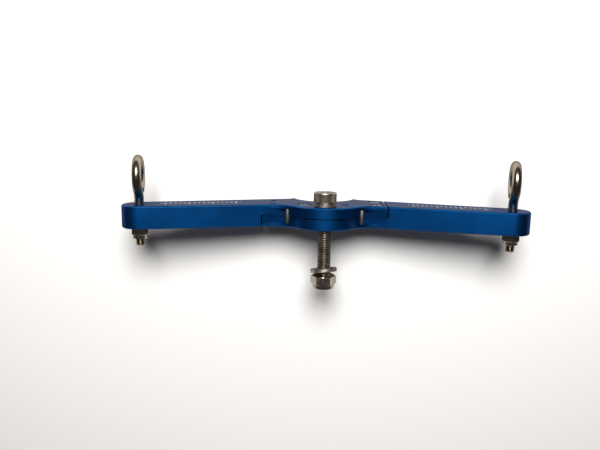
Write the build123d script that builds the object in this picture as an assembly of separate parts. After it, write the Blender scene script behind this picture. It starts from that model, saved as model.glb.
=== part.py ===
from build123d import *
import os
from math import atan2, cos, degrees, radians, sin, sqrt, tan

# Two-armed spreader yoke with a swivelling eye bolt in each tip and a clamping bolt in the hub.
# X runs along the arms, +Y points to the bolt head and the eyes, +Z points away from the saddle.
# The origin is the saddle's axis at the middle of the yoke's thickness. All sizes are in mm.

# Yoke outline, seen along Y
saddle_radius = 14.0
ear_height = 2.35            # ear tips above the saddle's axis
ear_flank_run = 2.7          # how far an ear's outer flank runs along X
hub_depth = 22.95            # from the saddle's crown to the top of the bulge
bulge_radius = 16.0
bulge_blend = 12.0           # hollow that joins the bulge to the front edge
half_span = 88.3
front_root = 21.4            # front edge, drawn on to the centre plane
rear_root = 0.65             # rear edge, drawn on to the centre plane
front_angle = 13.6
rear_angle = 16.9
edge_break = 0.5

# Lap joint between the two arm halves
thickness = 10.0
seam_reach = 27.95           # middle of the seam gap from the centre plane
seam_gap = 0.6
lap_break = 0.25

# Windows with strap pins
flange = 1.8                 # metal left above and below a window
window_inner = 15.25
window_outer = 27.5
window_floor = 24.2          # deepest part of the window above the saddle's axis
window_flat = 17.8           # the floor starts to rise here
pin_diameter = 2.5
pin_gap = 0.95               # between a pin and the window's floor
pin_seat = 1.0               # how far a pin enters each flange
pin_clearance = 0.02
pin_chamfer = 0.2

# Centre bolt and what is on it
bolt_depth = 6.45            # bolt's axis behind the top of the bulge
bolt_diameter = 6.0
bolt_clearance = 0.3         # on the radius, in the hub
bolt_length = 38.8
bolt_shoulder = 2.0          # from the thread to the head's side
bolt_head_height = 4.7
bolt_head_round = 0.5
bolt_socket_depth = 2.6
bolt_chamfer = 0.6
upper_washer_band = 1.75
upper_washer_clearance = 0.15
upper_washer_thickness = 1.6
lower_washer_band = 2.6
lower_washer_clearance = 0.3
lower_washer_thickness = 1.6
nut_gap = 1.4                # between the lower washer and the nut
nut_wall = 2.0               # from the thread to a flat
nut_height = 6.0
nut_insert_height = 1.5
nut_insert_wall = 1.1
thread_beyond_nut = 0.5
nut_clearance = 0.05

# Lock nuts' collars
collar_step = 0.4            # collar inside the flats
collar_floor = 0.3           # metal below the nylon ring
collar_roof = 0.1            # metal above the nylon ring
collar_round = 0.5
hexagon_trim = 1.11          # corners are turned off at this share of the flats

# Eye bolts, each on the centre of its rounded tip
wire_diameter = 4.0
ring_bore = 10.0
ring_clearance = 3.4         # from the yoke's top face to the ring's lowest point
neck_bend = 5.0
ring_opening = 20.0          # where the free end stops, degrees from the ring's lowest point
stud_tail = 8.0              # stud below the yoke's underside
stud_chamfer = 0.4
stud_clearance = 0.08
left_eye_turn = 9.0          # turned about Y from square to X
right_eye_turn = -12.5
eye_nut_wall = 1.5
eye_nut_height = 5.0
eye_insert_height = 1.2
eye_insert_wall = 0.8

# M3 screws that hold the lap joint, three from each side
screw_diameter = 3.0
screw_shoulder = 1.25        # from the thread to the head's side
screw_head_height = 3.0
screw_head_chamfer = 0.25
screw_recess = 0.2           # head below the face
screw_tip_recess = 0.8       # tip inside the far face
screw_tip_chamfer = 0.3
screw_socket_depth = 1.3
screw_head_clearance = 0.45  # on the radius, in the counterbore
screw_hole_clearance = 0.2   # on the radius, in the near half
tapped_clearance = 0.02      # on the radius, in the far half
screw_places = {"hub": (9.1, 25.4), "front": (23.45, 22.6), "rear": (23.45, 13.5)}

# Sizes that follow from the ones above
half_thickness = thickness / 2
bulge_top = saddle_radius + hub_depth
bolt_height = bulge_top - bolt_depth
bolt_head_diameter = bolt_diameter + 2 * bolt_shoulder
bolt_seat = half_thickness + upper_washer_thickness
bolt_end = bolt_seat - bolt_length
nut_top = bolt_end + thread_beyond_nut + nut_height
lower_washer_top = nut_top + nut_gap + lower_washer_thickness
head_floor = half_thickness - screw_head_height - screw_recess
screw_head_diameter = screw_diameter + 2 * screw_shoulder
pin_reach = window_inner + pin_diameter / 2
pin_height = window_floor + pin_gap + pin_diameter / 2
pin_end = half_thickness - flange + pin_seat
front_slope = tan(radians(front_angle))
rear_slope = tan(radians(rear_angle))
front_secant = 1 / cos(radians(front_angle))
rear_secant = 1 / cos(radians(rear_angle))
taper = rear_slope - front_slope
tip_radius = (front_root - rear_root - taper * half_span) / (front_secant + rear_secant - taper)
tip_reach = half_span - tip_radius
tip_height = front_root + tip_reach * front_slope - tip_radius * front_secant


def front_edge(x):
    """Height of the straight front edge at a distance x from the centre."""
    return front_root + x * front_slope


def rear_edge(x):
    """Height of the straight rear edge at a distance x from the centre."""
    return rear_root + x * rear_slope


def plan(x, z):
    """A point of the outline on the XZ plane."""
    return Vector(x, 0, z)


def bulge_blend_centre():
    """Centre of the hollow that touches the bulge from outside and the front edge from above."""
    bulge_z = bulge_top - bulge_radius
    lift = front_root + bulge_blend * front_secant - bulge_z
    a = 1 + front_slope**2
    b = 2 * front_slope * lift
    c = lift**2 - (bulge_radius + bulge_blend) ** 2
    x = (-b + sqrt(b * b - 4 * a * c)) / (2 * a)
    return x, bulge_z + lift + front_slope * x


def arc_points(centre, radius, start_deg, end_deg):
    """Start, middle and end of an arc about a centre in the XZ plane."""
    turns = (start_deg, (start_deg + end_deg) / 2, end_deg)
    return [plan(centre[0] + radius * cos(radians(t)), centre[1] + radius * sin(radians(t))) for t in turns]


def half_outline():
    """The right half of the yoke's outline, closed along the centre plane."""
    bulge_z = bulge_top - bulge_radius
    blend = bulge_blend_centre()
    blend_turn = degrees(atan2(blend[1] - bulge_z, blend[0]))
    ear_x = sqrt(saddle_radius**2 - ear_height**2)
    flank_x = ear_x + ear_flank_run
    ear_turn = degrees(atan2(ear_height, ear_x))
    saddle = arc_points((0, 0), saddle_radius, 90, ear_turn)
    tip = arc_points((tip_reach, tip_height), tip_radius, rear_angle - 90, front_angle + 90)
    hollow = arc_points(blend, bulge_blend, front_angle - 90, blend_turn - 180)
    bulge = arc_points((0, bulge_z), bulge_radius, blend_turn, 90)
    flank_top = plan(flank_x, rear_edge(flank_x))
    edges = [
        ThreePointArc(*saddle),
        Line(saddle[2], flank_top),
        Line(flank_top, tip[0]),
        ThreePointArc(*tip),
        Line(tip[2], hollow[0]),
        ThreePointArc(hollow[0], plan(*lowest_between(blend, hollow)), hollow[2]),
        ThreePointArc(*bulge),
        Line(bulge[2], saddle[0]),
    ]
    return make_face(edges)


def lowest_between(blend, hollow):
    """A point of the hollow between its two ends."""
    middle = (hollow[0] + hollow[2]) / 2
    direction = (middle - plan(*blend)).normalized()
    point = plan(*blend) + direction * bulge_blend
    return point.X, point.Z


def block(x_low, x_high, y_low, y_high, z_low, z_high):
    """A box between two corners."""
    size = (x_high - x_low, y_high - y_low, z_high - z_low)
    middle = ((x_high + x_low) / 2, (y_high + y_low) / 2, (z_high + z_low) / 2)
    return Pos(*middle) * Box(*size)


def rod(x, z, diameter, y_low, y_high):
    """A round bar along Y."""
    return Pos(x, (y_low + y_high) / 2, z) * Rot(90, 0, 0) * Cylinder(diameter / 2, y_high - y_low)


def hexagon_bar(x, z, flats, y_low, y_high, turn=0.0):
    """A hexagonal bar along Y, with two flats square to Z when the turn is 0."""
    sketch = RegularPolygon(flats / 2, 6, major_radius=False, rotation=turn)
    bar = extrude(sketch, y_high - y_low)
    return Pos(x, y_high, z) * Rot(90, 0, 0) * bar


def ring(x, z, outer, bore, y_low, y_high):
    """A flat washer along Y."""
    return rod(x, z, outer, y_low, y_high) - rod(x, z, bore, y_low - 1, y_high + 1)


def turned_over(shape):
    """The same shape turned half a turn about Z: the other half of the yoke."""
    return Rot(0, 0, 180) * shape


def window_cutter():
    """Space of the right window, between its two flanges."""
    beyond = bulge_top
    corners = [
        plan(window_inner, window_floor),
        plan(window_flat, window_floor),
        plan(window_outer, front_edge(window_outer)),
        plan(window_outer, beyond),
        plan(window_inner, beyond),
    ]
    face = make_face(Polyline(*corners, close=True))
    return extrude(face, half_thickness - flange, dir=(0, 1, 0), both=True)


def yoke_blank():
    """The whole yoke as one plate with its outer edges broken."""
    right = extrude(half_outline(), half_thickness, dir=(0, 1, 0), both=True)
    plate = right + mirror(right, about=Plane.YZ)
    faces = plate.faces().sort_by(Axis.Y)
    rims = faces[0].outer_wire().edges() + faces[-1].outer_wire().edges()
    return chamfer(rims, edge_break)


def left_half():
    """Left arm: full thickness outboard of its seam, upper half thickness across the hub."""
    beyond = 2 * half_span
    arm = yoke_blank()
    arm -= block(-seam_reach - seam_gap / 2, beyond, -thickness, 0, -beyond, beyond)
    arm -= block(seam_reach - seam_gap / 2, beyond, -thickness, thickness, -beyond, beyond)
    lap = arm.faces().filter_by(Plane.XZ).sort_by(Axis.Y)[1]
    front = [e for e in lap.edges() if e.center().Z > front_root and abs(e.center().X) < window_inner]
    arm = chamfer(front, lap_break)
    arm -= window_cutter()
    arm -= mirror(window_cutter(), about=Plane.YZ)
    arm -= rod(0, bolt_height, bolt_diameter + 2 * bolt_clearance, -thickness, thickness)
    arm -= rod(-tip_reach, tip_height, wire_diameter + 2 * stud_clearance, -thickness, thickness)
    for side in (-1, 1):
        arm -= rod(side * pin_reach, pin_height, pin_diameter + 2 * pin_clearance, -pin_end, pin_end)
    for name, (x, z) in screw_places.items():
        x *= upper_side(name)
        arm -= rod(x, z, screw_head_diameter + 2 * screw_head_clearance, head_floor, thickness)
        arm -= rod(x, z, screw_diameter + 2 * screw_hole_clearance, -thickness, thickness)
        arm -= rod(-x, z, screw_diameter + 2 * tapped_clearance, -thickness, thickness)
    return arm


def upper_side(name):
    """Side of the centre plane on which this screw enters from the top face."""
    return -1 if name == "hub" else 1


def strap_pin(side):
    """Dowel pin across a window, seated in both flanges."""
    pin = rod(side * pin_reach, pin_height, pin_diameter, -pin_end, pin_end)
    return chamfer(round_edges(pin), pin_chamfer)


def round_edges(shape):
    """The shape's circular edges, from the lowest Y to the highest."""
    return shape.edges().filter_by(GeomType.CIRCLE).sort_by(Axis.Y)


def cap_screw(name):
    """One lap screw from the top face, on its side of the hub."""
    x, z = screw_places[name]
    x *= upper_side(name)
    top = head_floor + screw_head_height
    head = rod(x, z, screw_head_diameter, head_floor, top)
    head = chamfer(round_edges(head)[-1], screw_head_chamfer)
    shank = rod(x, z, screw_diameter, screw_tip_recess - half_thickness, head_floor)
    shank = chamfer(round_edges(shank)[0], screw_tip_chamfer)
    return head + shank - hexagon_bar(x, z, 2 * screw_shoulder, top - screw_socket_depth, top + 1)


def centre_bolt():
    """Socket cap bolt through the hub."""
    top = bolt_seat + bolt_head_height
    head = rod(0, bolt_height, bolt_head_diameter, bolt_seat, top)
    head = fillet(round_edges(head)[-1], bolt_head_round)
    shank = rod(0, bolt_height, bolt_diameter, bolt_end, bolt_seat)
    shank = chamfer(round_edges(shank)[0], bolt_chamfer)
    socket = hexagon_bar(0, bolt_height, bolt_head_diameter / 2, top - bolt_socket_depth, top + 1)
    return head + shank - socket


def insert_span(top, height, insert_height):
    """Lowest and highest Y of the nylon ring in a lock nut that hangs from its top face."""
    low = top - height + collar_floor
    return low, low + insert_height


def lock_nut(x, z, top, height, flats, bore, insert, insert_height):
    """Lock nut hanging from its top face: a hexagon, then a round collar with a groove for its ring."""
    low, high = insert_span(top, height, insert_height)
    shoulder = high + collar_roof
    corner_round = flats * hexagon_trim
    nut = hexagon_bar(x, z, flats, shoulder, top) & rod(x, z, corner_round, shoulder, top)
    collar = rod(x, z, flats - 2 * collar_step, top - height, shoulder)
    nut += fillet(round_edges(collar)[0], collar_round)
    nut -= rod(x, z, bore, top - height - 1, top + 1)
    return nut - rod(x, z, insert, low, high)


def eye_bolt(side, turn):
    """Bent wire: a straight stud, a bend at the neck and a ring that stops short of the neck."""
    ring_radius = (ring_bore + wire_diameter) / 2
    ring_y = half_thickness + ring_clearance + wire_diameter / 2 + ring_radius
    bend_y = ring_y - sqrt((ring_radius + neck_bend) ** 2 - neck_bend**2)
    share = neck_bend / (neck_bend + ring_radius)
    touch = Vector(0, bend_y + share * (ring_y - bend_y), neck_bend * (1 - share))
    bend_turn = atan2(touch.Y - bend_y, neck_bend - touch.Z) / 2
    bend_middle = Vector(0, bend_y + neck_bend * sin(bend_turn), neck_bend * (1 - cos(bend_turn)))
    end_turn = radians(ring_opening)
    ring_end = Vector(0, ring_y - ring_radius * cos(end_turn), -ring_radius * sin(end_turn))
    ring_top = Vector(0, ring_y + ring_radius, 0)
    stud_end = Vector(0, -half_thickness - stud_tail, 0)
    neck = Vector(0, bend_y, 0)
    path = [Line(stud_end, neck), ThreePointArc(neck, bend_middle, touch)]
    path.append(ThreePointArc(touch, ring_top, ring_end))
    section = Plane(origin=stud_end, z_dir=(0, 1, 0)) * Circle(wire_diameter / 2)
    wire = sweep(section, path=Wire(path))
    wire = chamfer(round_edges(wire)[0], stud_chamfer)
    return Pos(side * tip_reach, 0, tip_height) * Rot(0, turn, 0) * wire


def build_nodes():
    """Every separate piece, by the name of its node."""
    left_arm = left_half()
    nodes = {"left_arm": left_arm, "right_arm": turned_over(left_arm)}
    nodes["left_strap_pin"] = strap_pin(-1)
    nodes["right_strap_pin"] = strap_pin(1)
    for name in screw_places:
        screw = cap_screw(name)
        nodes[f"upper_screw_{name}"] = screw
        nodes[f"lower_screw_{name}"] = turned_over(screw)

    axis = (0, bolt_height)
    bore = bolt_diameter + 2 * upper_washer_clearance
    outer = bore + 2 * upper_washer_band
    nodes["centre_bolt"] = centre_bolt()
    nodes["upper_lock_washer"] = ring(*axis, outer, bore, half_thickness, bolt_seat)
    bore = bolt_diameter + 2 * lower_washer_clearance
    outer = bore + 2 * lower_washer_band
    low = lower_washer_top - lower_washer_thickness
    nodes["lower_lock_washer"] = ring(*axis, outer, bore, low, lower_washer_top)

    bore = bolt_diameter + 2 * nut_clearance
    flats = bolt_diameter + 2 * nut_wall
    insert = bolt_diameter + 2 * nut_insert_wall
    span = insert_span(nut_top, nut_height, nut_insert_height)
    nodes["centre_lock_nut"] = lock_nut(*axis, nut_top, nut_height, flats, bore, insert, nut_insert_height)
    nodes["centre_nut_insert"] = ring(*axis, insert, bore, *span)

    bore = wire_diameter + 2 * tapped_clearance
    flats = wire_diameter + 2 * eye_nut_wall
    insert = wire_diameter + 2 * eye_insert_wall
    seat = (-half_thickness, eye_nut_height)
    span = insert_span(*seat, eye_insert_height)
    for word, side, turn in (("left", -1, left_eye_turn), ("right", 1, right_eye_turn)):
        axis = (side * tip_reach, tip_height)
        nodes[f"{word}_eye_bolt"] = eye_bolt(side, turn)
        nodes[f"{word}_eye_nut"] = lock_nut(*axis, *seat, flats, bore, insert, eye_insert_height)
        nodes[f"{word}_eye_nut_insert"] = ring(*axis, insert, bore, *span)
    return nodes


os.makedirs("parts", exist_ok=True)
for node, shape in build_nodes().items():
    export_step(shape, f"parts/{node}.step")
    print(node, round(shape.volume, 2))
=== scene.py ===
import math
import bmesh
import bpy
from mathutils import Matrix, Vector


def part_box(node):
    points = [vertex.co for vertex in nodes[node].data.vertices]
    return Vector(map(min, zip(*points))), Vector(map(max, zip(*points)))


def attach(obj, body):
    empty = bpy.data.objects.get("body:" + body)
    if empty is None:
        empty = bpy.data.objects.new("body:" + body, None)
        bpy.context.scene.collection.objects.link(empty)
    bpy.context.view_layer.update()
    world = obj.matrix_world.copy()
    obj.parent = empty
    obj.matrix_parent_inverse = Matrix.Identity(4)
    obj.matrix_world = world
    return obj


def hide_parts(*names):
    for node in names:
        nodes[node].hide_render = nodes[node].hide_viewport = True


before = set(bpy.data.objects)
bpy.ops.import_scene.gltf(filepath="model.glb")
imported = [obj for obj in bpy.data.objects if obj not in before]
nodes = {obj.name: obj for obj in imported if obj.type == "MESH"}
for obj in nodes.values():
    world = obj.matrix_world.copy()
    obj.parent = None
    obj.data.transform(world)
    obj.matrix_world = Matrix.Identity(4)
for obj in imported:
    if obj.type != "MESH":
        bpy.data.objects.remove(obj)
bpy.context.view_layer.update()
mm = 0.001
print("frame loaded:", len(nodes), "nodes")


def boxMiddle(node):
    low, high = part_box(node)
    return (low + high) / 2


boltAxis = boxMiddle("centre_bolt")  # its X and Z are the bolt's axis
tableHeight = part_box("left_arm")[0].z  # the yoke stands on its two ears

viewSet = {
    "lens": 36.0,
    "tilt": 9.97,  # degrees from straight above, towards the bolt head
    "swing": 0.81,  # degrees towards the right arm
    "roll": 0.91,
    "distance": 268.3 * mm,
    "aimX": -10.87 * mm,
    "aimY": -4.21 * mm,
    "aimHeight": 23.6 * mm,  # above the table
}


def makeCamera(s):
    tilt = math.radians(s["tilt"])
    swing = math.radians(s["swing"])
    roll = math.radians(s["roll"])
    aim = Vector((s["aimX"], s["aimY"], tableHeight + s["aimHeight"]))
    level = math.cos(tilt)
    back = Vector((math.sin(swing) * level, math.sin(tilt), math.cos(swing) * level))
    right = Vector((math.cos(swing), 0, -math.sin(swing)))
    up = back.cross(right)
    rolledRight = right * math.cos(roll) + up * math.sin(roll)
    rolledUp = back.cross(rolledRight)
    data = bpy.data.cameras.new("tableCamera")
    data.lens = s["lens"]
    data.sensor_width = 36
    data.clip_start = 0.01
    data.clip_end = 50
    camera = bpy.data.objects.new("tableCamera", data)
    bpy.context.scene.collection.objects.link(camera)
    turn = Matrix((rolledRight, rolledUp, back)).transposed().to_4x4()
    camera.matrix_world = Matrix.Translation(aim + back * s["distance"]) @ turn
    bpy.context.scene.camera = camera


makeCamera(viewSet)
bpy.context.scene.view_settings.view_transform = "Standard"
print("camera placed")


def toLinear(hexText):
    # sRGB hex to linear RGBA
    parts = [int(hexText[i:i + 2], 16) / 255 for i in (1, 3, 5)]
    return [p / 12.92 if p <= 0.04045 else ((p + 0.055) / 1.055) ** 2.4 for p in parts] + [1.0]


def addNode(tree, kind, settings=None, links=None):
    # adds one node, sets its inputs or properties, and links named inputs to other sockets
    node = tree.nodes.new(kind)
    for key, value in (settings or {}).items():
        if isinstance(key, int) or key in node.inputs:
            node.inputs[key].default_value = value
        else:
            setattr(node, key, value)
    for key, socket in (links or {}).items():
        tree.links.new(socket, node.inputs[key])
    return node


def addSteps(tree, kind, known, steps):
    # a chain of sums: each step names its result, its operation and its terms
    # a term is a number, or the name of an earlier result
    for result, operation, *terms in steps:
        numbers = {i: t for i, t in enumerate(terms) if not isinstance(t, str)}
        sockets = {i: known[t] for i, t in enumerate(terms) if isinstance(t, str)}
        known[result] = addNode(tree, kind, {"operation": operation, **numbers}, sockets).outputs[0]


def newMaterial(name, colour, metallic, roughness):
    material = bpy.data.materials.new(name)
    material.use_nodes = True
    tree = material.node_tree
    shader = tree.nodes["Principled BSDF"]
    shader.inputs["Base Color"].default_value = toLinear(colour)
    shader.inputs["Metallic"].default_value = metallic
    shader.inputs["Roughness"].default_value = roughness
    return material, tree, shader


lightSet = {
    "keySize": 0.27,  # metres across
    "keyTilt": 29.0,  # degrees off the table's normal, towards the bolt head
    "keyDistance": 0.55,
    "keyPower": 4.7,
    "keyColour": "#fffdfa",
    "roomColour": "#8d8378",
    "roomStrength": 0.17,
    "tableColour": "#f6f6f6",
    "tableRoughness": 0.6,
    "tableSize": 6.0,
}


def makeKeyLight(s):
    # a round panel tilted from straight above towards +Y, facing the yoke
    centre = Vector((0, 0, tableHeight))
    angle = math.radians(s["keyTilt"])
    data = bpy.data.lights.new("keyLight", "AREA")
    data.shape = "DISK"
    data.size = s["keySize"]
    data.energy = s["keyPower"]
    data.color = toLinear(s["keyColour"])[:3]
    lamp = bpy.data.objects.new("keyLight", data)
    lamp.location = centre + Vector((0, math.sin(angle), math.cos(angle))) * s["keyDistance"]
    lamp.rotation_euler = (-angle, 0, 0)
    bpy.context.scene.collection.objects.link(lamp)


def makeStudio(s):
    makeKeyLight(s)
    world = bpy.data.worlds.new("dimRoom")
    world.use_nodes = True
    room = world.node_tree.nodes["Background"]
    room.inputs["Color"].default_value = toLinear(s["roomColour"])
    room.inputs["Strength"].default_value = s["roomStrength"]
    bpy.context.scene.world = world
    half = s["tableSize"] / 2
    corners = [(-half, -half), (half, -half), (half, half), (-half, half)]
    mesh = bpy.data.meshes.new("table")
    mesh.from_pydata([(x, y, tableHeight) for x, y in corners], [], [(0, 1, 2, 3)])
    table = bpy.data.objects.new("table", mesh)
    bpy.context.scene.collection.objects.link(table)
    # melamine laminate: one even matt white
    laminate = newMaterial("white laminate, matt", s["tableColour"], 0.0, s["tableRoughness"])[0]
    mesh.materials.append(laminate)


makeStudio(lightSet)
print("lights and table made")


anodised = {
    "colour": "#005097",
    # edge colour: partly dye worn thin on the broken edges, partly a painted highlight along them
    "edgeWearAndHighlightColour": "#1f74b8",
    "deepColour": "#003f78",
    # painted shade: near-black for the crease of the lap between the two laminas
    "grooveShadeColour": "#000c1e",
    "edgeTint": "#928e6c",  # what the skin leaves of a low-angle reflection
    "roughness": (0.36, 0.46),
    "coatWeight": 0.15,
    "coatRoughness": 0.3,
    "coatIor": 1.6,
    "grain": 0.5 * mm,  # the real blasted grain is about 0.1 mm, drawn coarser so that it shows
    "smudge": 16 * mm,
    "bump": 0.12,
    "tickPitch": 2.0 * mm,
    "tickWidth": 0.26,  # share of the pitch
    "tickLong": 4.6 * mm,
    "tickShort": 2.6 * mm,
    "scaleFrom": 38 * mm,
    "scaleTo": 72.1 * mm,
    "midRoot": 11.0 * mm,  # middle line of an arm: height at the centre plane, and its slope
    "midSlope": 0.2729,
    "tickColour": "#a9aaa6",
}


def makeAnodised(s):
    # aluminium, blasted and dyed blue, under a hard clear oxide skin: a satin metal, greyer at a low angle
    # and lighter on its broken edges, partly dye worn thin and partly a painted highlight, with a painted
    # near-black shade in the lap's groove and a laser-marked scale on the top face of each arm
    material, tree, shader = newMaterial("blue anodised aluminium, blasted", s["colour"], 1.0, 0.4)
    shader.inputs["Specular Tint"].default_value = toLinear(s["edgeTint"])
    shader.inputs["Coat Weight"].default_value = s["coatWeight"]
    shader.inputs["Coat Roughness"].default_value = s["coatRoughness"]
    shader.inputs["Coat IOR"].default_value = s["coatIor"]
    place = addNode(tree, "ShaderNodeTexCoord")
    grain = addNode(tree, "ShaderNodeTexNoise", {"Scale": 1 / s["grain"], "Detail": 3.0},
                    {"Vector": place.outputs["Object"]})
    smudge = addNode(tree, "ShaderNodeTexNoise", {"Scale": 1 / s["smudge"], "Detail": 4.0},
                     {"Vector": place.outputs["Object"]})
    dye = addNode(tree, "ShaderNodeMix", {"data_type": "RGBA", 6: toLinear(s["deepColour"]),
                                          7: toLinear(s["colour"])}, {0: grain.outputs[0]})
    # lighter colour on the broken edges: partly dye worn thin, partly a painted highlight
    edge = addNode(tree, "ShaderNodeAttribute", {"attribute_name": "brokenEdge"})
    edged = addNode(tree, "ShaderNodeMix", {"data_type": "RGBA", 7: toLinear(s["edgeWearAndHighlightColour"])},
                    {0: edge.outputs["Fac"], 6: dye.outputs[2]})
    # painted shade: the lap's groove is mixed to near-black, the shade in the crease between the laminas
    groove = addNode(tree, "ShaderNodeAttribute", {"attribute_name": "lapGrooveShade"})
    grooved = addNode(tree, "ShaderNodeMix", {"data_type": "RGBA", 7: toLinear(s["grooveShadeColour"])},
                      {0: groove.outputs["Fac"], 6: edged.outputs[2]})
    split = addNode(tree, "ShaderNodeSeparateXYZ", None, {0: place.outputs["Object"]})
    facing = addNode(tree, "ShaderNodeSeparateXYZ", None, {0: place.outputs["Normal"]})
    known = {"x": split.outputs["X"], "z": split.outputs["Z"], "up": facing.outputs["Y"]}
    addSteps(tree, "ShaderNodeMath", known, [
        ("reach", "ABSOLUTE", "x"),
        ("count", "DIVIDE", "reach", s["tickPitch"]),
        ("shifted", "ADD", "count", s["tickWidth"] / 2),
        ("phase", "FRACT", "shifted"),
        ("onTick", "LESS_THAN", "phase", s["tickWidth"]),
        ("fifth", "DIVIDE", "shifted", 5.0),
        ("fifthPhase", "FRACT", "fifth"),
        ("isLong", "LESS_THAN", "fifthPhase", 0.2),
        ("length", "MULTIPLY_ADD", "isLong", s["tickLong"] - s["tickShort"], s["tickShort"]),
        ("middle", "MULTIPLY_ADD", "reach", s["midSlope"], s["midRoot"]),
        ("offLine", "SUBTRACT", "z", "middle"),
        ("below", "ADD", "offLine", s["tickLong"] / 2),
        ("fromRoot", "GREATER_THAN", "below", 0.0),
        ("inLength", "LESS_THAN", "below", "length"),
        ("pastStart", "GREATER_THAN", "reach", s["scaleFrom"]),
        ("beforeEnd", "LESS_THAN", "reach", s["scaleTo"]),
        ("onTop", "GREATER_THAN", "up", 0.9),  # only faces that look along +Y
        ("a", "MULTIPLY", "onTick", "fromRoot"),
        ("b", "MULTIPLY", "inLength", "pastStart"),
        ("c", "MULTIPLY", "beforeEnd", "onTop"),
        ("ab", "MULTIPLY", "a", "b"),
        ("tick", "MULTIPLY", "ab", "c"),
        ("bare", "SUBTRACT", 1.0, "tick"),
    ])
    marked = addNode(tree, "ShaderNodeMix", {"data_type": "RGBA", 7: toLinear(s["tickColour"])},
                     {0: known["tick"], 6: grooved.outputs[2]})
    low, high = s["roughness"]
    rough = addNode(tree, "ShaderNodeMapRange", {1: 0.3, 2: 0.7, 3: low, 4: high}, {0: smudge.outputs[0]})
    bump = addNode(tree, "ShaderNodeBump", {"Strength": s["bump"], "Distance": 0.02 * mm},
                   {"Height": grain.outputs[0]})
    tree.links.new(marked.outputs[2], shader.inputs["Base Color"])
    tree.links.new(known["bare"], shader.inputs["Metallic"])
    tree.links.new(rough.outputs[0], shader.inputs["Roughness"])
    tree.links.new(bump.outputs[0], shader.inputs["Normal"])
    return material


metals = {
    # a name, colours of the clean and the dull metal, roughness range, grain along X, Y and Z, bump
    "plain": ("stainless steel, cold formed", "#b9b2a7", "#9b9387", (0.2, 0.3), (1.2, 1.2, 1.2), 0.03),
    "turned": ("stainless steel, turned", "#b4ada4", "#978f84", (0.28, 0.4), (1.6, 0.3, 1.6), 0.04),
    "spring": ("spring steel, rolled", "#b7b0a6", "#989085", (0.34, 0.46), (1.0, 1.0, 1.0), 0.04),
    "bright": ("stainless steel, tumbled bright", "#c2c1be", "#a3a29e",
               (0.16, 0.26), (0.9, 0.9, 0.9), 0.03),
    # painted shade: the dowel steel is darkened to the shade the pins stand in inside the windows
    "ground": ("dowel steel, ground, darkened as painted shade", "#6e7073", "#505356", (0.42, 0.55), (2.0, 0.3, 2.0), 0.06),
}
bareSteel = {
    "edgeTint": "#a39c94",  # what handling leaves of a low-angle reflection
    "film": 4 * mm,  # size of the dull patches
}


def makeSteel(name, clean, dull, roughness, grain, strength):
    # bare steel: grey with a warm cast, and fine marks from its making, which spread its highlights
    material, tree, shader = newMaterial(name, clean, 1.0, 0.25)
    shader.inputs["Specular Tint"].default_value = toLinear(bareSteel["edgeTint"])
    place = addNode(tree, "ShaderNodeTexCoord")
    stretch = addNode(tree, "ShaderNodeMapping", {"Scale": [1 / (g * mm) for g in grain]},
                      {"Vector": place.outputs["Object"]})
    marks = addNode(tree, "ShaderNodeTexNoise", {"Scale": 1.0, "Detail": 3.0},
                    {"Vector": stretch.outputs[0]})
    film = addNode(tree, "ShaderNodeTexNoise", {"Scale": 1 / bareSteel["film"], "Detail": 3.0},
                   {"Vector": place.outputs["Object"]})
    tone = addNode(tree, "ShaderNodeMapRange", {1: 0.42, 2: 0.68}, {0: film.outputs[0]})
    colour = addNode(tree, "ShaderNodeMix", {"data_type": "RGBA", 6: toLinear(clean), 7: toLinear(dull)},
                     {0: tone.outputs[0]})
    rough = addNode(tree, "ShaderNodeMapRange", {1: 0.3, 2: 0.7, 3: roughness[0], 4: roughness[1]},
                    {0: marks.outputs[0]})
    bump = addNode(tree, "ShaderNodeBump", {"Strength": strength, "Distance": 0.01 * mm},
                   {"Height": marks.outputs[0]})
    tree.links.new(colour.outputs[2], shader.inputs["Base Color"])
    tree.links.new(rough.outputs[0], shader.inputs["Roughness"])
    tree.links.new(bump.outputs[0], shader.inputs["Normal"])
    return material


wirePolish = {
    "colour": "#a69d91",
    "dullColour": "#8c8376",
    "roughness": (0.19, 0.27),
    "lineSpacing": 0.25 * mm,  # drawn lines, coarser than the real ones so that they show
    "lineLength": 9 * mm,
    "bump": 0.04,
}


def makePolishedWire(s):
    # stainless wire, drawn and polished: bright, with faint lines that run along the wire round its bends
    material, tree, shader = newMaterial("stainless steel wire, polished", s["colour"], 1.0, 0.12)
    shader.inputs["Specular Tint"].default_value = toLinear(bareSteel["edgeTint"])
    place = addNode(tree, "ShaderNodeUVMap", {"uv_map": "alongWire"})
    stretch = addNode(tree, "ShaderNodeMapping", {"Scale": (1 / s["lineSpacing"], 1 / s["lineLength"], 1)},
                      {"Vector": place.outputs[0]})
    lines = addNode(tree, "ShaderNodeTexNoise", {"Scale": 1.0, "Detail": 2.0},
                    {"Vector": stretch.outputs[0]})
    low, high = s["roughness"]
    colour = addNode(tree, "ShaderNodeMix", {"data_type": "RGBA", 6: toLinear(s["colour"]),
                                             7: toLinear(s["dullColour"])}, {0: lines.outputs[0]})
    rough = addNode(tree, "ShaderNodeMapRange", {1: 0.3, 2: 0.7, 3: low, 4: high}, {0: lines.outputs[0]})
    bump = addNode(tree, "ShaderNodeBump", {"Strength": s["bump"], "Distance": 0.01 * mm},
                   {"Height": lines.outputs[0]})
    tree.links.new(colour.outputs[2], shader.inputs["Base Color"])
    tree.links.new(rough.outputs[0], shader.inputs["Roughness"])
    tree.links.new(bump.outputs[0], shader.inputs["Normal"])
    return material


nylonSkin = {
    "colour": "#dcd9cf",
    "dullColour": "#c9c5b8",
    "roughness": 0.42,
    "translucence": 0.15,
    "ripple": 0.6 * mm,
    "bump": 0.15,
}


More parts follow.
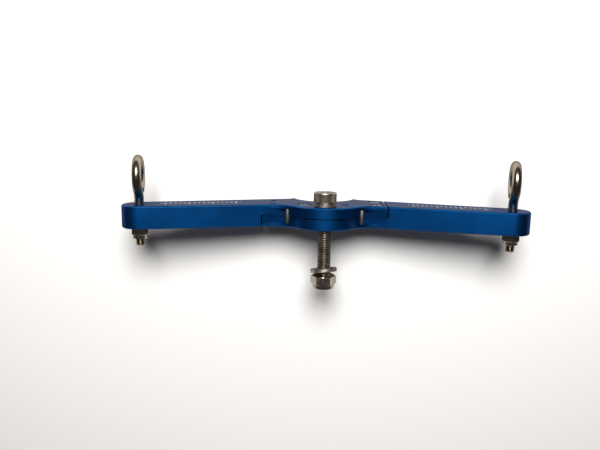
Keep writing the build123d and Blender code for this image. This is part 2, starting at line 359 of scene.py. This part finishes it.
def makeNylon(s):
    # nylon, injection moulded: milky, a little translucent, with a soft sheen
    material, tree, shader = newMaterial("nylon, moulded", s["colour"], 0.0, s["roughness"])
    shader.inputs["IOR"].default_value = 1.53
    shader.inputs["Subsurface Weight"].default_value = s["translucence"]
    shader.inputs["Subsurface Radius"].default_value = (0.6 * mm, 0.5 * mm, 0.4 * mm)
    shader.inputs["Subsurface Scale"].default_value = 1.0
    place = addNode(tree, "ShaderNodeTexCoord")
    ripple = addNode(tree, "ShaderNodeTexNoise", {"Scale": 1 / s["ripple"], "Detail": 2.0},
                     {"Vector": place.outputs["Object"]})
    tone = addNode(tree, "ShaderNodeMix", {"data_type": "RGBA", 6: toLinear(s["colour"]),
                                           7: toLinear(s["dullColour"])}, {0: ripple.outputs[0]})
    bump = addNode(tree, "ShaderNodeBump", {"Strength": s["bump"], "Distance": 0.02 * mm},
                   {"Height": ripple.outputs[0]})
    tree.links.new(tone.outputs[2], shader.inputs["Base Color"])
    tree.links.new(bump.outputs[0], shader.inputs["Normal"])
    return material


blueMetal = makeAnodised(anodised)
formedSteel, turnedSteel, springSteel, brightSteel, shadedDowelSteel = (makeSteel(*m) for m in metals.values())
polishedWire = makePolishedWire(wirePolish)
nylon = makeNylon(nylonSkin)
print("materials made")


def smoothMesh(mesh, angle=28.0):
    # normals outwards on every closed shell, then smooth shading up to this angle between faces
    work = bmesh.new()
    work.from_mesh(mesh)
    bmesh.ops.remove_doubles(work, verts=work.verts, dist=0.0002 * mm)
    bmesh.ops.recalc_face_normals(work, faces=work.faces)
    work.to_mesh(mesh)
    work.free()
    mesh.polygons.foreach_set("use_smooth", [True] * len(mesh.polygons))
    mesh.set_sharp_from_angle(angle=math.radians(angle))


def skin(rings, joined=False):
    # a closed skin over rings of equal count: they make a loop, or else both ends are filled
    count = len(rings[0])
    last = len(rings) - 1
    spans = [(k, k + 1) for k in range(last)] + ([(last, 0)] if joined else [])
    faces = [(a * count + i, a * count + (i + 1) % count, b * count + (i + 1) % count, b * count + i)
             for a, b in spans for i in range(count)]
    if not joined:
        faces += [tuple(range(count)), tuple(range(last * count, (last + 1) * count))]
    return [point for ring in rings for point in ring], faces


def joinShells(name, shells):
    points, faces = [], []
    for shellPoints, shellFaces in shells:
        faces += [tuple(i + len(points) for i in face) for face in shellFaces]
        points += shellPoints
    mesh = bpy.data.meshes.new(name)
    mesh.from_pydata([tuple(p) for p in points], [], faces)
    return mesh


def ringAt(axis, y, radius, count=72):
    # points round an axis along Y; the radius is a number or a function of the angle from +Z
    angles = [2 * math.pi * i / count for i in range(count)]
    radii = [radius(a) if callable(radius) else radius for a in angles]
    return [Vector((axis.x + r * math.sin(a), y, axis.z + r * math.cos(a))) for a, r in zip(angles, radii)]


def hexRadius(flats, limit=math.inf, turn=0.0):
    # distance from the axis to a hexagon's side, with its corners turned off at the limit
    def radius(angle):
        away = (angle - math.radians(turn) + math.pi / 6) % (math.pi / 3) - math.pi / 6
        return min(flats / 2 / math.cos(away), limit)
    return radius


def newTree(name, inputs):
    # an empty Geometry Nodes tree with named inputs
    tree = bpy.data.node_groups.new(name, "GeometryNodeTree")
    tree.interface.new_socket("Geometry", in_out="OUTPUT", socket_type="NodeSocketGeometry")
    tree.interface.new_socket("Geometry", in_out="INPUT", socket_type="NodeSocketGeometry")
    for word, kind in inputs.items():
        tree.interface.new_socket(word, in_out="INPUT", socket_type="NodeSocket" + kind)
    return tree, addNode(tree, "NodeGroupInput").outputs


def endTree(tree, sizes, parts):
    # every tree ends the same way: join, realize, set the material
    joined = addNode(tree, "GeometryNodeJoinGeometry")
    for socket in parts:
        tree.links.new(socket, joined.inputs[0])
    real = addNode(tree, "GeometryNodeRealizeInstances", None, {0: joined.outputs[0]})
    painted = addNode(tree, "GeometryNodeSetMaterial", None,
                      {"Geometry": real.outputs[0], "Material": sizes["Material"]})
    addNode(tree, "NodeGroupOutput", None, {0: painted.outputs[0]})
    return tree


def threadTree():
    # a threaded rod along Y: a grid whose rows follow the helix, wrapped and closed at both ends
    tree, sizes = newTree("cutThread", {
        "Crest Radius": "Float", "Pitch": "Float", "Depth": "Float", "Lead In": "Float", "Top": "Float",
        "Bottom": "Float", "Axis X": "Float", "Axis Z": "Float", "Around": "Int", "Steps": "Int",
        "Material": "Material"})
    index = addNode(tree, "GeometryNodeInputIndex")
    known = {"index": index.outputs[0], "crest": sizes["Crest Radius"], "pitch": sizes["Pitch"],
             "depth": sizes["Depth"], "lead": sizes["Lead In"], "top": sizes["Top"],
             "bottom": sizes["Bottom"], "axisX": sizes["Axis X"], "axisZ": sizes["Axis Z"],
             "around": sizes["Around"], "steps": sizes["Steps"]}
    addSteps(tree, "ShaderNodeMath", known, [
        ("run", "ADD", "crest", "pitch"),  # rows past each end, which the end faces use
        ("threadLength", "SUBTRACT", "top", "bottom"),
        ("wholeLength", "MULTIPLY_ADD", "run", 2.0, "threadLength"),
        ("turns", "DIVIDE", "wholeLength", "pitch"),
        ("wholeTurns", "CEIL", "turns"),
        ("rowsMade", "MULTIPLY_ADD", "wholeTurns", "steps", 1.0),
        ("columns", "ADD", "around", 1.0),
        ("quotient", "DIVIDE", "index", "rowsMade"),
        ("column", "FLOOR", "quotient"),
        ("passed", "MULTIPLY", "column", "rowsMade"),
        ("row", "SUBTRACT", "index", "passed"),
        ("share", "DIVIDE", "column", "around"),
        ("angle", "MULTIPLY", "share", 2 * math.pi),
        ("rowTurns", "DIVIDE", "row", "steps"),
        ("fall", "SUBTRACT", "rowTurns", "share"),
        ("highest", "ADD", "top", "run"),
        ("drop", "MULTIPLY", "fall", "pitch"),
        ("rawY", "SUBTRACT", "highest", "drop"),
        ("phase", "FRACT", "rowTurns"),
        ("centred", "SUBTRACT", "phase", 0.5),
        ("folded", "ABSOLUTE", "centred"),
        ("flank", "MULTIPLY_ADD", "folded", 2.4, -0.1),  # narrow flats on the crest and in the root
        ("flankLow", "MAXIMUM", "flank", 0.0),
        ("profile", "MINIMUM", "flankLow", 1.0),
        ("cut", "SUBTRACT", 1.0, "profile"),
        ("groove", "MULTIPLY", "cut", "depth"),
        ("threadRadius", "SUBTRACT", "crest", "groove"),
        ("endRadius", "SUBTRACT", "crest", "lead"),
        ("toTop", "SUBTRACT", "top", "rawY"),
        ("toBottom", "SUBTRACT", "rawY", "bottom"),
        ("nearEnd", "MINIMUM", "toTop", "toBottom"),
        ("endLimit", "ADD", "nearEnd", "endRadius"),
        ("limited", "MINIMUM", "threadRadius", "endLimit"),
        ("radius", "MAXIMUM", "limited", 0.0),
        ("belowTop", "MINIMUM", "rawY", "top"),
        ("y", "MAXIMUM", "belowTop", "bottom"),
        ("sine", "SINE", "angle"),
        ("cosine", "COSINE", "angle"),
        ("x", "MULTIPLY_ADD", "radius", "sine", "axisX"),
        ("z", "MULTIPLY_ADD", "radius", "cosine", "axisZ"),
    ])
    grid = addNode(tree, "GeometryNodeMeshGrid", None,
                   {"Vertices X": known["columns"], "Vertices Y": known["rowsMade"]})
    place = addNode(tree, "ShaderNodeCombineXYZ", None, {i: known[k] for i, k in enumerate("xyz")})
    wrapped = addNode(tree, "GeometryNodeSetPosition", None,
                      {"Geometry": grid.outputs[0], "Position": place.outputs[0]})
    closed = addNode(tree, "GeometryNodeMergeByDistance", {"Distance": 0.004 * mm}, {0: wrapped.outputs[0]})
    return endTree(tree, sizes, (sizes["Geometry"], closed.outputs[0]))


def knurlTree():
    # straight ridges round a head's side
    tree, sizes = newTree("rollKnurl", {
        "Radius": "Float", "Ridge": "Float", "Low": "Float", "High": "Float", "Axis X": "Float",
        "Axis Z": "Float", "Count": "Int", "Material": "Material"})
    index = addNode(tree, "GeometryNodeInputIndex")
    known = {"index": index.outputs[0], "count": sizes["Count"], "r": sizes["Radius"],
             "low": sizes["Low"], "high": sizes["High"], "ridge": sizes["Ridge"],
             "axisX": sizes["Axis X"], "axisZ": sizes["Axis Z"]}
    addSteps(tree, "ShaderNodeMath", known, [
        ("share", "DIVIDE", "index", "count"),
        ("angle", "MULTIPLY", "share", 2 * math.pi),
        ("sine", "SINE", "angle"),
        ("cosine", "COSINE", "angle"),
        ("x", "MULTIPLY_ADD", "r", "sine", "axisX"),
        ("z", "MULTIPLY_ADD", "r", "cosine", "axisZ"),
        ("sum", "ADD", "low", "high"),
        ("y", "MULTIPLY", "sum", 0.5),
        ("height", "SUBTRACT", "high", "low"),
        ("cornerOut", "ADD", "angle", math.pi / 4),
    ])
    place = addNode(tree, "ShaderNodeCombineXYZ", None, {i: known[k] for i, k in enumerate("xyz")})
    size = addNode(tree, "ShaderNodeCombineXYZ", None,
                   {0: known["ridge"], 1: known["height"], 2: known["ridge"]})
    turn = addNode(tree, "ShaderNodeCombineXYZ", None, {1: known["cornerOut"]})
    points = addNode(tree, "GeometryNodePoints", None,
                     {"Count": sizes["Count"], "Position": place.outputs[0]})
    bar = addNode(tree, "GeometryNodeMeshCube", None, {"Size": size.outputs[0]})
    ridges = addNode(tree, "GeometryNodeInstanceOnPoints", None, {
        "Points": points.outputs[0], "Instance": bar.outputs[0], "Rotation": turn.outputs[0]})
    return endTree(tree, sizes, (sizes["Geometry"], ridges.outputs[0]))


def placeTree():
    # the finished screw at three places, and at the same three turned half a turn about Z
    tree, sizes = newTree("placeScrews", {
        "Hub Place": "Vector", "Front Place": "Vector", "Rear Place": "Vector", "Seed": "Int",
        "Material": "Material"})
    index = addNode(tree, "GeometryNodeInputIndex")
    known = {"index": index.outputs[0]}
    addSteps(tree, "ShaderNodeMath", known, [
        ("third", "DIVIDE", "index", 3.0),
        ("side", "FLOOR", "third"),
        ("which", "MODULO", "index", 3.0),
        ("halfTurn", "MULTIPLY", "side", math.pi),
        ("sign", "MULTIPLY_ADD", "side", -2.0, 1.0),
    ])
    chosen = addNode(tree, "GeometryNodeIndexSwitch", {"data_type": "VECTOR"})
    chosen.index_switch_items.new()
    tree.links.new(known["which"], chosen.inputs["Index"])
    for k, word in enumerate(("Hub Place", "Front Place", "Rear Place")):
        tree.links.new(sizes[word], chosen.inputs[1 + k])
    mirror = addNode(tree, "ShaderNodeCombineXYZ", {2: 1.0}, {0: known["sign"], 1: known["sign"]})
    place = addNode(tree, "ShaderNodeVectorMath", {"operation": "MULTIPLY"},
                    {0: chosen.outputs[0], 1: mirror.outputs[0]})
    clock = addNode(tree, "FunctionNodeRandomValue", {"data_type": "FLOAT", 2: 0.0, 3: math.pi / 3},
                    {"ID": index.outputs[0], "Seed": sizes["Seed"]})
    turn = addNode(tree, "ShaderNodeCombineXYZ", None, {1: clock.outputs[1], 2: known["halfTurn"]})
    points = addNode(tree, "GeometryNodePoints", {"Count": 6}, {"Position": place.outputs[0]})
    screws = addNode(tree, "GeometryNodeInstanceOnPoints", None, {
        "Points": points.outputs[0], "Instance": sizes["Geometry"], "Rotation": turn.outputs[0]})
    return endTree(tree, sizes, (screws.outputs[0],))


cutThread, rollKnurl, placeScrews = threadTree(), knurlTree(), placeTree()
print("node trees made")


def makePiece(name, mesh, material, trees=()):
    # an object at the origin; its trees are run and turned into a plain mesh
    piece = bpy.data.objects.new(name, mesh)
    for tree, values in trees:
        modifier = piece.modifiers.new(tree.name, "NODES")
        modifier.node_group = tree
        ids = {i.name: i.identifier for i in tree.interface.items_tree if i.in_out == "INPUT"}
        for word, value in {**values, "Material": material}.items():
            modifier[ids[word]] = value
    bpy.context.scene.collection.objects.link(piece)
    if trees:
        ready = piece.evaluated_get(bpy.context.evaluated_depsgraph_get())
        piece.data = bpy.data.meshes.new_from_object(ready)
        piece.modifiers.clear()
    smoothMesh(piece.data)
    piece.data.materials.clear()
    piece.data.materials.append(material)
    return piece


armEdges = {
    "softWidth": 0.12 * mm,  # every sharp edge is a little round
    "segments": 2,
    "softWearAndHighlight": 0.35,  # how far the edge colour comes through on the rounded faces: worn dye and a painted highlight
    # the same on the chamfers: worn dye and a painted highlight
    "breakWearAndHighlight": 0.3,
    "slant": (0.5, 0.85),  # how far along Y a broken edge faces
    "grooveDepth": 0.45 * mm,  # the lap's broken edges, painted near-black as the shade in the crease
    "grooveSlant": 0.3,
    "weld": 0.002 * mm,
    "flatAngle": 0.3,  # degrees; faces closer than this are made one
    "sharpAngle": 24.0,  # degrees; edges sharper than this are rounded
}


def makeArm(name, node, s):
    # a yoke half with softened edges; one attribute marks the broken edges, lighter partly as dye worn thin
    # and partly as a painted highlight, another the lap's groove, painted near-black as the shade in the
    # crease
    mesh = nodes[node].data.copy()
    work = bmesh.new()
    work.from_mesh(mesh)
    bmesh.ops.remove_doubles(work, verts=work.verts, dist=s["weld"])
    flat = math.radians(s["flatAngle"])
    bmesh.ops.dissolve_limit(work, angle_limit=flat, verts=work.verts, edges=work.edges)
    work.to_mesh(mesh)
    work.free()
    mesh.materials.clear()
    mesh.polygons.foreach_set("use_smooth", [True] * len(mesh.polygons))
    piece = bpy.data.objects.new(name, mesh)
    bpy.context.scene.collection.objects.link(piece)
    soft = piece.modifiers.new("softEdges", "BEVEL")
    soft.width = s["softWidth"]
    soft.segments = s["segments"]
    soft.limit_method = "ANGLE"
    soft.angle_limit = math.radians(s["sharpAngle"])
    soft.miter_outer = "MITER_ARC"
    soft.material = 1  # the second material, which only marks the rounded faces
    even = piece.modifiers.new("flatFacesStayFlat", "WEIGHTED_NORMAL")
    even.weight = 100
    for material in (blueMetal, shadedDowelSteel):
        mesh.materials.append(material)
    ready = piece.evaluated_get(bpy.context.evaluated_depsgraph_get())
    mesh = bpy.data.meshes.new_from_object(ready)
    piece.modifiers.clear()
    piece.data = mesh
    # edge values stand for worn dye and a painted highlight; groove values are painted shade
    wearAndHighlight, grooveShade = [], []
    least, most = s["slant"]
    for face in mesh.polygons:
        slanted = least < abs(face.normal.y) < most
        inGroove = abs(face.center.y) < s["grooveDepth"] and abs(face.normal.y) > s["grooveSlant"]
        value = s["softWearAndHighlight"] if face.material_index else s["breakWearAndHighlight"] * slanted
        wearAndHighlight.append(0.0 if inGroove else value)
        grooveShade.append(float(inGroove))
        face.material_index = 0
    for word, values in (("brokenEdge", wearAndHighlight), ("lapGrooveShade", grooveShade)):
        mesh.attributes.new(word, "FLOAT", "FACE").data.foreach_set("value", values)
    mesh.materials.pop(index=1)
    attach(piece, "yoke")
    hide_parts(node)


for word in ("left", "right"):
    makeArm(word + "YokeArm", word + "_arm", armEdges)
print("yoke arms made")


headShape = {
    "mouthShare": 1.2,  # socket's round mouth against its flats
    "knurlFrom": 1.15,  # knurl's upper end below the top, in edge rounds
    "fade": 0.08 * mm,  # knurl's lower end
}


def capHead(axis, s):
    # socket head with a short plain neck: one turned shell from the socket's floor to the neck's end
    top, floor, seat = s["top"], s["top"] - s["socketDepth"], s["top"] - s["headHeight"]
    outer, edge, neck = s["headRadius"], s["edgeRound"], s["threadRadius"]
    hexagon = hexRadius(s["socketFlats"])
    mouth = s["socketFlats"] / 2 * headShape["mouthShare"]
    knurlTop, knurlEnd = top - edge * headShape["knurlFrom"], seat + s["band"] + headShape["fade"]
    side = outer - s["knurlDepth"]
    rings = [(floor, hexagon), (top - s["mouthDepth"], hexagon), (top, mouth)]
    turns = [math.radians(a) for a in (0, 22.5, 45, 67.5, 90)]
    rings += [(top - edge * (1 - math.cos(a)), outer - edge + edge * math.sin(a)) for a in turns]
    rings += [(knurlTop, side), (knurlEnd, side), (seat + s["band"], outer)]
    rings += [(seat + edge / 3, outer), (seat, outer - edge / 2), (seat, neck), (seat - s["neck"], neck)]
    return skin([ringAt(axis, y, r) for y, r in rings])


clampBolt = {
    "top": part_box("centre_bolt")[1].y,
    "headHeight": 4.7 * mm,
    "headRadius": 5.0 * mm,
    "edgeRound": 0.5 * mm,
    "knurlDepth": 0.16 * mm,
    "ridge": 0.22 * mm,  # side of the square bar that stands out as one ridge
    "ridges": 60,
    "ridgeInBand": 0.05 * mm,
    "band": 0.8 * mm,  # plain band under the knurl
    "socketFlats": 5.0 * mm,
    "socketDepth": 2.6 * mm,
    "mouthDepth": 0.3 * mm,
    "threadRadius": 3.0 * mm,
    "neck": 4.0 * mm,
    "pitch": 1.0 * mm,
    "depth": 0.72 * mm,  # a real M6 thread is about 0.61 mm deep, drawn deeper so that it shows
    "leadIn": 0.6 * mm,
    "threadInNeck": 0.5 * mm,
    "around": 48,
    "steps": 10,  # rows in one turn of the thread
}


def threadSizes(s, axis, top, bottom):
    return {"Crest Radius": s["threadRadius"], "Pitch": s["pitch"], "Depth": s["depth"],
            "Lead In": s["leadIn"], "Top": top, "Bottom": bottom, "Axis X": axis.x, "Axis Z": axis.z,
            "Around": s["around"], "Steps": s["steps"]}


def makeClampBolt(s):
    # the hub's cap bolt: turned head, rolled knurl, and its thread up to the neck
    seat = s["top"] - s["headHeight"]
    knurl = {"Radius": s["headRadius"] - s["knurlDepth"], "Ridge": s["ridge"], "Count": s["ridges"],
             "Low": seat + s["band"] - s["ridgeInBand"], "High": s["top"] - s["edgeRound"],
             "Axis X": boltAxis.x, "Axis Z": boltAxis.z}
    thread = threadSizes(s, boltAxis, seat - s["neck"] + s["threadInNeck"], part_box("centre_bolt")[0].y)
    mesh = joinShells("clampBolt", [capHead(boltAxis, s)])
    piece = makePiece("clampBolt", mesh, turnedSteel, [(rollKnurl, knurl), (cutThread, thread)])
    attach(piece, "clamp_bolt")
    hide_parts("centre_bolt")


makeClampBolt(clampBolt)

lapScrew = {
    "top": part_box("upper_screw_hub")[1].y,
    "headHeight": 3.0 * mm,
    "headRadius": 2.75 * mm,
    "edgeRound": 0.3 * mm,
    "knurlDepth": 0.0,
    "band": 0.8 * mm,
    "socketFlats": 2.5 * mm,
    "socketDepth": 1.3 * mm,
    "mouthDepth": 0.15 * mm,
    "threadRadius": 1.5 * mm,
    "neck": 0.8 * mm,
    "pitch": 0.5 * mm,
    "depth": 0.3 * mm,
    "leadIn": 0.3 * mm,
    "threadInNeck": 0.2 * mm,
    "around": 30,
    "steps": 8,
    "seed": 7,
}


def makeLapScrews(s):
    # one screw on the Y axis, then all six of them, each with its socket turned another way
    origin = Vector((0, 0, 0))
    words = ("hub", "front", "rear")
    threadTop = s["top"] - s["headHeight"] - s["neck"] + s["threadInNeck"]
    thread = threadSizes(s, origin, threadTop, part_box("upper_screw_hub")[0].y)
    middles = {word: boxMiddle("upper_screw_" + word) for word in words}
    places = {f"{word.capitalize()} Place": Vector((m.x, 0, m.z)) for word, m in middles.items()}
    mesh = joinShells("lapScrews", [capHead(origin, s)])
    piece = makePiece("lapScrews", mesh, brightSteel,
                      [(cutThread, thread), (placeScrews, {**places, "Seed": s["seed"]})])
    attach(piece, "yoke")
    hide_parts(*(f"{side}_screw_{word}" for side in ("upper", "lower") for word in words))


makeLapScrews(lapScrew)
print("bolt and lap screws made")

strapPin = {"chamfer": 0.25 * mm, "softness": 0.08 * mm, "around": 48}


def makePins(s):
    # two dowel pins, turned with a chamfer at both ends
    shells = []
    for node in ("left_strap_pin", "right_strap_pin"):
        low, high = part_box(node)
        radius = (high.x - low.x) / 2
        ends = [(0, radius - s["chamfer"] - s["softness"]), (s["softness"] / 2, radius - s["chamfer"]),
                (s["chamfer"], radius - s["softness"] / 2), (s["chamfer"] + s["softness"], radius)]
        rings = [(low.y + y, r) for y, r in ends] + [(high.y - y, r) for y, r in reversed(ends)]
        shells.append(skin([ringAt(boxMiddle(node), y, r, s["around"]) for y, r in rings]))
    # the pins' steel is darkened as painted shade
    piece = makePiece("strapPins", joinShells("strapPins", shells), shadedDowelSteel)
    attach(piece, "yoke")
    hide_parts("left_strap_pin", "right_strap_pin")


makePins(strapPin)

splitWashers = {  # angles in degrees: the split's place and width, then the tilt about X and Z
    "upper": {"node": "upper_lock_washer", "body": "bolt_washer", "bore": 3.15 * mm, "splitAt": 118.0,
              "gap": 9.0, "lift": 0.0, "nod": 0.0, "lean": 0.0},
    "lower": {"node": "lower_lock_washer", "body": "loose_washer", "bore": 3.3 * mm, "splitAt": 62.0,
              "gap": 10.0, "lift": 0.2 * mm, "nod": -9.0, "lean": 5.5},
}
springWire = {
    "clearance": 0.01 * mm,  # above and below
    "trim": 0.18 * mm,  # the wire's corners
    "cutSlant": 7.0,  # degrees
    "steps": 96,
}


def makeSplitWasher(word, s):
    # one turn of square spring wire, cut on the slant; the free one is sprung open and hangs askew
    low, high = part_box(s["node"])
    middle = boxMiddle(s["node"])
    inner, outer = s["bore"], (high.x - low.x) / 2
    half = (high.y - low.y) / 2 - springWire["clearance"]
    trim, steps = springWire["trim"], springWire["steps"]
    corners = [(inner + trim, half), (outer - trim, half), (outer, half - trim), (outer, trim - half),
               (outer - trim, -half), (inner + trim, -half), (inner, trim - half), (inner, half - trim)]
    rings = []
    for k in range(steps + 1):
        share = k / steps - 0.5
        ring = []
        for radius, y in corners:
            slant = y / half * math.radians(springWire["cutSlant"])
            angle = math.radians(s["splitAt"] + 180) + share * math.radians(360 - s["gap"]) + slant
            ring.append(Vector((radius * math.sin(angle), y + share * s["lift"], radius * math.cos(angle))))
        rings.append(ring)
    points, faces = skin(rings)
    lean, nod = (Matrix.Rotation(math.radians(s[word]), 4, a) for word, a in (("lean", "Z"), ("nod", "X")))
    turn = Matrix.Translation(middle) @ lean @ nod
    mesh = joinShells(word + "SplitWasher", [([turn @ p for p in points], faces)])
    piece = makePiece(word + "SplitWasher", mesh, springSteel)
    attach(piece, s["body"])
    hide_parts(s["node"])


for word, sizes in splitWashers.items():
    makeSplitWasher(word, sizes)
print("pins and washers made")

lockNuts = {
    "centre": {"node": "centre_lock_nut", "insert": "centre_nut_insert", "body": "clamp_nut",
               "insertBody": "nut_carrier", "bore": 3.03 * mm, "hexHeight": 4.1 * mm, "lip": 3.75 * mm,
               "turn": -2.0},
    "leftEye": {"node": "left_eye_nut", "insert": "left_eye_nut_insert", "body": "left_eye",
                "insertBody": "left_eye", "bore": 2.02 * mm, "hexHeight": 3.4 * mm, "lip": 2.5 * mm,
                "turn": -15.0},
    "rightEye": {"node": "right_eye_nut", "insert": "right_eye_nut_insert", "body": "right_eye",
                 "insertBody": "right_eye", "bore": 2.02 * mm, "hexHeight": 3.4 * mm, "lip": 2.5 * mm,
                 "turn": 15.0},
}
nutShape = {
    "mouth": 0.35 * mm,  # chamfer where the bolt goes in
    "faceShare": 0.475,  # radius of the bearing face, in widths across the flats
    "topCuts": (0.0, 0.12, 0.25, 0.4, 0.55, 0.7),  # mm below the bearing face
    "topSlope": 1.6,
    "step": 0.2 * mm,  # collar inside the flats
    "coneShares": (0.09, 0.072, 0.054, 0.036, 0.018, 0.0),  # above the shoulder, in widths
    "coneSlope": 1.2,
    "neckIn": 0.08 * mm,
    "neckDown": 0.12 * mm,
    "rollShare": 0.085,
    "lipEdge": 0.1 * mm,
    "lipRound": 0.08 * mm,
    "pocket": 0.35 * mm,
    "pocketSlope": 0.01 * mm,
}
nylonRing = {
    "clearance": 0.01 * mm,  # to the pocket's wall and floor
    "recess": 0.06 * mm,  # end face inside the lip
    "round": 0.1 * mm,
}


def nutRings(s, low, high):
    # heights and radii from the bolt's mouth over the hexagon and the collar to the pocket
    flats, n = high.z - low.z, nutShape
    shoulder, bore, lip = high.y - s["hexHeight"], s["bore"], s["lip"]
    collar, roll, face = flats / 2 - n["step"], n["rollShare"] * flats, flats * n["faceShare"]
    rings = [(high.y - n["mouth"], bore), (high.y, bore + n["mouth"])]
    for away in n["topCuts"]:  # a flat cone meets the flats in arcs
        rings.append((high.y - away * mm, hexRadius(flats, face + away * mm * n["topSlope"], s["turn"])))
    for share in n["coneShares"]:
        limit = collar + share * flats * n["coneSlope"]
        rings.append((shoulder + share * flats, hexRadius(flats, limit, s["turn"])))
    collar -= n["neckIn"]
    rings.append((shoulder - n["neckDown"], collar))
    for angle in (0, 22.5, 45, 67.5, 90):
        a = math.radians(angle)
        rings.append((low.y + roll * (1 - math.sin(a)), collar - roll * (1 - math.cos(a))))
    rings += [(low.y, lip + n["lipEdge"]), (low.y + n["lipRound"], lip), (low.y + n["pocket"], lip)]
    return rings + [(low.y + n["pocket"] + n["pocketSlope"], bore)]


def ringSection(s, low):
    # the end of the nylon ring that shows in the nut's mouth, as heights and radii
    inner, outer, soft = s["bore"], s["lip"] - nylonRing["clearance"], nylonRing["round"]
    top, end = low.y + nutShape["pocket"] - nylonRing["clearance"], low.y + nylonRing["recess"]
    return [(top, inner), (top, outer), (end + soft, outer), (end, outer - soft), (end, inner + 2 * soft),
            (end + soft, inner + soft / 2)]


def makeLockNut(word, s):
    # hexagon with turned-off corners, then a round collar rolled over its nylon ring
    low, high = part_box(s["node"])
    axis = boxMiddle(s["node"])
    section = nutRings(s, low, high)
    mesh = joinShells(word + "LockNut", [skin([ringAt(axis, y, r) for y, r in section], joined=True)])
    piece = makePiece(word + "LockNut", mesh, formedSteel)
    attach(piece, s["body"])
    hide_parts(s["node"])
    section = ringSection(s, low)
    mesh = joinShells(word + "NylonRing", [skin([ringAt(axis, y, r) for y, r in section], joined=True)])
    piece = makePiece(word + "NylonRing", mesh, nylon)
    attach(piece, s["insertBody"])
    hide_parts(s["insert"])


for word, sizes in lockNuts.items():
    makeLockNut(word, sizes)
print("lock nuts made")

eyeBolt = {
    "wireRadius": 2.0 * mm,
    "ringRadius": 7.0 * mm,  # to the middle of the wire
    "bendRadius": 5.0 * mm,
    "opening": 20.0,  # degrees from the ring's lowest point to the free end
    "turns": {"left": 9.0, "right": -12.5},  # degrees about Y from square to the arms
    "endRound": 0.35 * mm,
    "threadRadius": 2.0 * mm,
    "pitch": 0.7 * mm,
    "depth": 0.43 * mm,
    "leadIn": 0.4 * mm,
    "threadTop": -4.0 * mm,
    "wireInThread": 0.6 * mm,
    "around": 36,
    "steps": 8,
    "girthSteps": 32,
    "bendSteps": 12,
    "ringSteps": 84,
}


def wirePath(s, ringMiddle):
    # middle line of the wire in the YZ plane: neck, bend, ring
    ring, bend = s["ringRadius"], s["bendRadius"]
    bendStart = ringMiddle - math.sqrt((ring + bend) ** 2 - bend ** 2)
    bendEnd = math.atan2(ringMiddle - bendStart, bend)
    points = [(s["threadTop"] - s["wireInThread"], 0.0), (0.0, 0.0)]
    for k in range(s["bendSteps"] + 1):
        a = bendEnd * k / s["bendSteps"]
        points.append((bendStart + bend * math.sin(a), bend * (1 - math.cos(a))))
    # angles on the ring are from its lowest point: where the bend runs into it, and its free end
    touch = math.atan2(bend - bend * math.cos(bendEnd), ringMiddle - bendStart - bend * math.sin(bendEnd))
    freeEnd = 2 * math.pi - math.radians(s["opening"])
    for k in range(1, s["ringSteps"] + 1):
        a = touch + (freeEnd - touch) * k / s["ringSteps"]
        points.append((ringMiddle - ring * math.cos(a), ring * math.sin(a)))
    return points


def wireRings(s, path, turn):
    # rings round the wire's middle line, and how far along the wire each one is
    count, wire, edge = s["girthSteps"], s["wireRadius"], s["endRound"]
    flat = [Vector((0, y, z)) for y, z in path]
    last = len(flat) - 1
    rings, lengths, length = [], [], 0.0
    for k, point in enumerate(flat):
        ahead = (flat[min(k + 1, last)] - flat[max(k - 1, 0)]).normalized()
        across = Vector((0, ahead.z, -ahead.y))
        length += (point - flat[k - 1]).length if k else 0.0
        stops = [(0.0, wire)]
        if k == last:  # the free end is cut square and its edge is broken
            stops = [(-edge, wire), (-edge / 3, wire - edge / 3), (0.0, wire - edge)]
        for back, radius in stops:
            ring = []
            for i in range(count):
                a = 2 * math.pi * i / count
                offset = across * (radius * math.cos(a)) + Vector((radius * math.sin(a), 0, 0))
                ring.append(turn @ (point + ahead * back + offset))
            rings.append(ring)
            lengths.append(length + back)
    return rings, lengths


def unrollWire(mesh, s, lengths):
    # the UV map alongWire: round the wire, and along it, in metres
    count = s["girthSteps"]
    girth = 2 * math.pi * s["wireRadius"]
    layer = mesh.uv_layers.new(name="alongWire")
    for face in mesh.polygons:
        columns = [mesh.loops[k].vertex_index % count for k in face.loop_indices]
        wraps = max(columns) == count - 1 and min(columns) == 0 and len(columns) == 4
        for k, column in zip(face.loop_indices, columns):
            row = mesh.loops[k].vertex_index // count
            column = count if wraps and column == 0 else column
            layer.data[k].uv = (girth * column / count, lengths[row])


def makeEyeBolt(word, s):
    # wire bent into an eye, with a thread cut on its straight end
    node = word + "_eye_bolt"
    axis = boxMiddle(word + "_eye_nut")
    low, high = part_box(node)
    path = wirePath(s, high.y - s["wireRadius"] - s["ringRadius"])
    turn = Matrix.Rotation(math.radians(s["turns"][word]), 4, "Y")
    rings, lengths = wireRings(s, path, Matrix.Translation((axis.x, 0, axis.z)) @ turn)
    mesh = joinShells(word + "EyeBolt", [skin(rings)])
    unrollWire(mesh, s, lengths)
    thread = threadSizes(s, axis, s["threadTop"], low.y)
    piece = makePiece(word + "EyeBolt", mesh, polishedWire, [(cutThread, thread)])
    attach(piece, word + "_eye")
    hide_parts(node)


for word in ("left", "right"):
    makeEyeBolt(word, eyeBolt)
print("eye bolts made")
